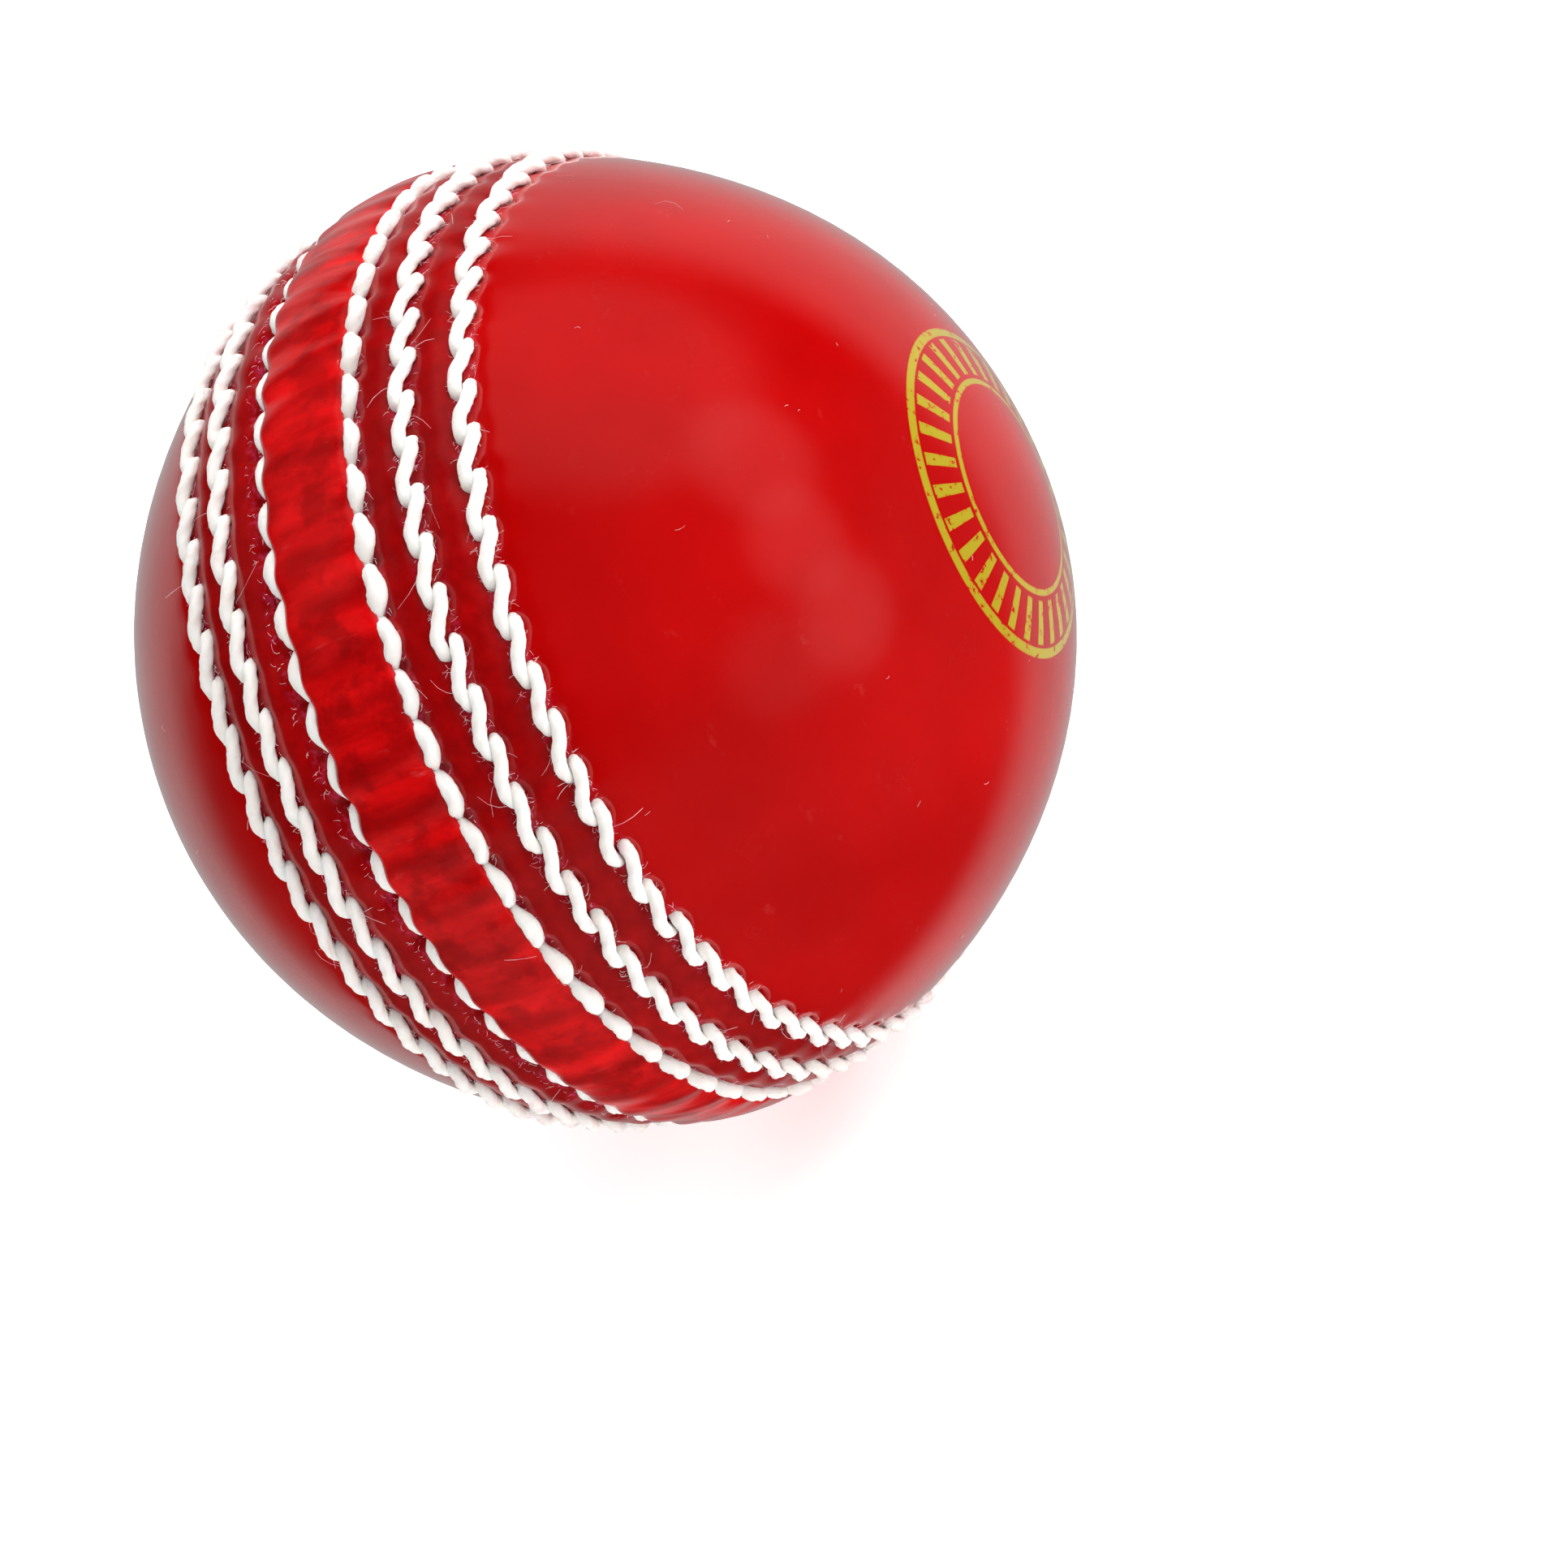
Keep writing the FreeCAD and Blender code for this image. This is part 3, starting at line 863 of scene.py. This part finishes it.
def linen_thread():
    """White waxed linen, with a little red dye from the leather on it."""
    s = Shader("waxed_linen_thread")
    shade = s.between(s.noise(600, detail=4, roughness=0.6), 0.3, 0.7)
    colour = s.mix(shade, *LINENS)
    dyed = s.between(s.noise(330, detail=4, roughness=0.7), 0.60, 0.70)
    colour = s.mix(s.math("MULTIPLY", dyed, 0.25), colour, DYED_LINEN)
    s.set(Base_Color=colour, Roughness=s.between(s.noise(900), 0.3, 0.7, 0.55, 0.75),
          Sheen_Weight=0.3, Subsurface_Weight=0.25, Subsurface_Scale=0.0008)
    fibres = s.noise(2600, detail=5, roughness=0.7)
    s.set(Normal=s.bump(fibres, 0.00010, strength=0.8))
    return s.material


def fibre_material():
    s = Shader("stray_linen_fibre")
    tone = s.between(s.noise(500), 0.42, 0.60)
    s.set(Base_Color=s.mix(tone, *STRAY_LINENS), Roughness=0.7)
    return s.material


def inner_material(name, dark, light, scale, stretch, depth):
    s = Shader(name)
    tone = s.between(s.noise(scale, 5, 0.65, stretch), 0.3, 0.7)
    rough = s.between(tone, 0, 1, 0.7, 0.9)
    s.set(Base_Color=s.mix(tone, dark, light), Roughness=rough)
    s.set(Normal=s.bump(s.noise(scale * 2, 4, 0.6, stretch), depth, strength=0.7))
    return s.material


def finish_inner_nodes(nodes):
    """Materials for the CAD nodes that are kept, which are all inside the cover."""
    looks = {word: inner_material(*look) for word, look in INNER_LOOKS.items()}
    for name, node in nodes.items():
        for word, material in looks.items():
            if word in name:
                node.data.materials.clear()
                node.data.materials.append(material)


# ---------------------------------------------------------------- ball

def dress(piece, materials, slot, *nodes):
    """Gives a piece its materials and its body, and hides the nodes that it replaces. The
    slot is not used.
    """
    for material in materials:
        piece.data.materials.append(material)
    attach(piece, "root")
    if nodes:
        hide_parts(*nodes)


def build_ball(nodes):
    leather, thread = (polished_leather(), seam_leather()), (linen_thread(),)
    rows = {"middle": MIDDLE_ROW, "outer": OUTER_ROW}
    for half, side in HALVES.items():
        dress(cover_half(half, side), leather, "red_leather", f"cover_half_{half}")
        for name, row in rows.items():
            stitches = thread_row(row, name, half, side)
            dress(stitches, thread, "linen_thread", f"{name}_row_thread_{half}")
    for strand, order in enumerate(("first", "second")):
        stitches = closing_thread(strand, f"closing_stitches_{order}")
        dress(stitches, thread, "linen_thread", f"closing_thread_{order}")
    dress(seam_strip(), (strip_leather(),), "red_leather", "seam_strip")
    dress(loose_fibres(), (fibre_material(),), "linen_thread")
    finish_inner_nodes(nodes)


# ---------------------------------------------------------------- studio

def world_up_in_camera():
    """World up in camera axes: square to the ball's pole, raised by the elevation."""
    n = POLE_IN_CAMERA
    z = math.sin(math.radians(ELEVATION))
    flat = math.cos(math.radians(ELEVATION)) ** 2
    a = n.x ** 2 + n.y ** 2
    b = 2 * n.x * n.z * z
    c = (n.z * z) ** 2 - flat * n.y ** 2
    x = (-b - math.sqrt(b * b - 4 * a * c)) / (2 * a)
    return Vector((x, -(n.z * z + n.x * x) / n.y, z))


def camera_turn():
    """Rotation from camera axes to world axes. The pole that shows is the one at -Y."""
    y_axis = -POLE_IN_CAMERA
    z_axis = world_up_in_camera()
    return Matrix((y_axis.cross(z_axis), y_axis, z_axis))


def add_camera():
    """The camera, aimed so that the ball is off the middle. Returns its turn."""
    turn = camera_turn()
    place = turn @ Vector((0, 0, 1)) * CAMERA_DISTANCE * POLE_RADIUS * MM
    right = math.tan(math.radians(BALL_RIGHT_OF_AXIS))
    up = math.tan(math.radians(BALL_ABOVE_AXIS))
    wanted = Vector((right, up, -1)).normalized()
    aim = wanted.rotation_difference(Vector((0, 0, -1))).to_matrix()
    data = bpy.data.cameras.new("camera")
    data.lens, data.sensor_width = FOCAL_LENGTH, SENSOR
    data.clip_start = CLIP_START
    camera = bpy.data.objects.new("camera", data)
    camera.matrix_world = Matrix.Translation(place) @ (turn @ aim).to_4x4()
    bpy.context.scene.collection.objects.link(camera)
    bpy.context.scene.camera = camera
    return turn


def add_light(turn, name, direction, size, radiance):
    """A large soft light that faces the ball and isn't reflected in it."""
    data = bpy.data.lights.new(name, "AREA")
    data.shape = "ELLIPSE"
    data.size, data.size_y = size
    data.energy = radiance * math.pi * size[0] * size[1]
    light = bpy.data.objects.new(name, data)
    towards = (turn @ Vector(direction)).normalized()
    light.location = towards * LIGHT_DISTANCE
    light.rotation_euler = towards.to_track_quat("Z", "Y").to_euler()
    light.visible_glossy = False
    light.visible_camera = False
    bpy.context.scene.collection.objects.link(light)


def add_world(turn):
    """The surround, which is white to the camera and dim and even to diffuse light.

    Reflections show it dark on the camera's side and paler behind, with the glows.
    """
    world = bpy.data.worlds.new("studio")
    world.use_nodes = True
    nodes, links = world.node_tree.nodes, world.node_tree.links
    sky = nodes["Background"]
    place = nodes.new("ShaderNodeTexCoord").outputs["Generated"]

    def fade_by_angle(direction, limits):
        facing = nodes.new("ShaderNodeVectorMath")
        facing.operation = "DOT_PRODUCT"
        facing.inputs[1].default_value = turn @ Vector(direction).normalized()
        links.new(place, facing.inputs[0])
        fade = nodes.new("ShaderNodeMapRange")
        fade.interpolation_type = "SMOOTHSTEP"
        for name, number in zip(("From Min", "From Max", "To Min", "To Max"), limits):
            fade.inputs[name].default_value = number
        links.new(facing.outputs["Value"], fade.inputs["Value"])
        return fade.outputs[0]

    total = fade_by_angle(DARK_SIDE, SURROUND_FADE)
    for direction, full_edge, faded_edge, radiance in GLOWS:
        edges = math.cos(math.radians(faded_edge)), math.cos(math.radians(full_edge))
        add = nodes.new("ShaderNodeMath")
        links.new(total, add.inputs[0])
        links.new(fade_by_angle(direction, (*edges, 0.0, radiance)), add.inputs[1])
        total = add.outputs[0]
    path = nodes.new("ShaderNodeLightPath")
    reflected = nodes.new("ShaderNodeMix")
    reflected.inputs["A"].default_value = DIFFUSE_SURROUND
    links.new(path.outputs["Is Glossy Ray"], reflected.inputs["Factor"])
    links.new(total, reflected.inputs["B"])
    seen = nodes.new("ShaderNodeMix")
    seen.inputs["B"].default_value = SEEN_SURROUND
    links.new(path.outputs["Is Camera Ray"], seen.inputs["Factor"])
    links.new(reflected.outputs[0], seen.inputs["A"])
    links.new(seen.outputs[0], sky.inputs["Strength"])
    sky.inputs["Color"].default_value = WHITE
    world.cycles.sampling_method = "NONE"
    bpy.context.scene.world = world


def add_floor(lowest):
    """A pale floor that glows more with distance, so that it meets a white surround."""
    mesh = bpy.data.meshes.new("floor")
    reach = FLOOR_REACH
    corners = [(-reach, -reach), (reach, -reach), (reach, reach), (-reach, reach)]
    mesh.from_pydata([(x, y, lowest) for x, y in corners], [], [(0, 1, 2, 3)])
    floor = bpy.data.objects.new("floor", mesh)
    bpy.context.scene.collection.objects.link(floor)
    floor.visible_glossy = False
    s = Shader("pale_floor")
    distance = s.nodes.new("ShaderNodeVectorMath")
    distance.operation = "LENGTH"
    s.links.new(s.position, distance.inputs[0])
    glow = s.between(distance.outputs["Value"], NEAR_DISTANCE, FAR_DISTANCE,
                     FLOOR_GLOW_NEAR, FLOOR_GLOW_FAR)
    s.set(Base_Color=FLOOR_GREY, Roughness=0.8, Specular_IOR_Level=0.1,
          Emission_Color=WHITE, Emission_Strength=glow)
    mesh.materials.append(s.material)


def add_studio(turn, lowest):
    add_floor(lowest)
    add_world(turn)
    for light in LIGHTS:
        add_light(turn, *light)
    bpy.context.scene.view_settings.view_transform = "Standard"


# ---------------------------------------------------------------- the scene

for old in list(bpy.data.objects):
    bpy.data.objects.remove(old)
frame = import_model()
cad_box = [[float(v) for v in corner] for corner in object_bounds()]
build_ball(frame["nodes"])
view_turn = add_camera()
add_studio(view_turn, cad_box[0][2])
